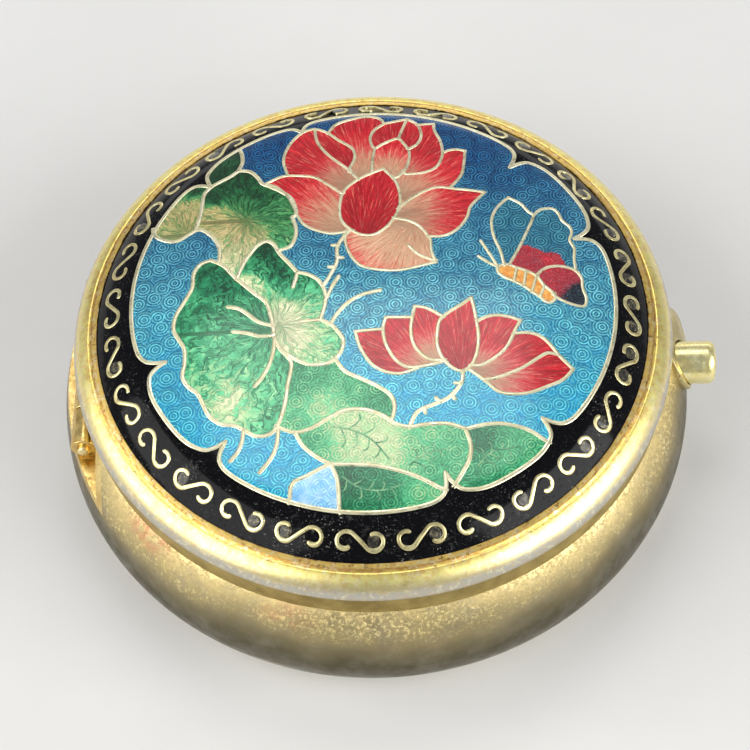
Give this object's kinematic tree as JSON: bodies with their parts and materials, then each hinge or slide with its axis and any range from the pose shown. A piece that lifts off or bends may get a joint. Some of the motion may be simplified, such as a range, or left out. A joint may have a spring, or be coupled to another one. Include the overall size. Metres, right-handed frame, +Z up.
{
  "type": "pill box",
  "caption": "Round brass pill box with a hinged enamelled lid, a push-button catch and a three-well tray inside.",
  "frame": {"origin": "middle of the flat underside, on the table", "axes": "+Z up, +X towards the push button, hinge at -X"},
  "size_m": [0.052, 0.05, 0.0181],
  "materials": {
    "body_brass": "satin, dulled and dusty",
    "inner_brass": "satin",
    "hinge_brass": "satin, tarnished",
    "pin_brass": "polished",
    "button_brass": "polished, worn",
    "bezel_brass": "polished, worn on its edge",
    "wire_brass": "polished flush",
    "spring_steel": "plain",
    "copper": "plain",
    "counter_enamel": "glossy",
    "black_enamel": "glossy, pitted",
    "blue_enamel": "glossy, translucent over stamped foil",
    "card": "matte",
    "mirror_glass": "silvered",
    "tray_plastic": "moulded"
  },
  "bodies": {
    "base": {"base_shell": "body_brass", "base_collar": "inner_brass", "hinge_seat": "hinge_brass", "hinge_base_leaf": "hinge_brass", "hinge_pin": "pin_brass", "button_plate": "body_brass", "button_guide": "inner_brass", "latch_block": "inner_brass", "latch_spring": "spring_steel", "latch_rivets": "spring_steel", "pill_tray": "tray_plastic"},
    "button": {"push_button": "button_brass", "button_stem": "spring_steel"},
    "lid": {"lid_frame": "bezel_brass", "hinge_lid_leaf": "hinge_brass", "lid_catch": "inner_brass", "enamel_plate": "copper", "counter_enamel": "counter_enamel", "enamel_border": "black_enamel", "enamel_field": "blue_enamel", "cartouche_wire": "wire_brass", "scroll_wires": "wire_brass", "backing_card": "card", "lid_mirror": "mirror_glass", "mirror_ring": "bezel_brass"}
  },
  "joints": [
    {"name": "lid_hinge", "type": "hinge", "parent": "base", "child": "lid", "pos_m": [-0.02255, 0, 0.00935], "axis": [0, -1, 0], "range_deg": [0, 105], "deforming": ["latch_spring"]},
    {"name": "button_press", "type": "slide", "parent": "base", "child": "button", "axis": [-1, 0, 0], "range_m": [0, 0.001], "stiffness_N_per_m": 400, "springref_m": -0.001, "deforming": ["latch_spring"]}
  ]
}
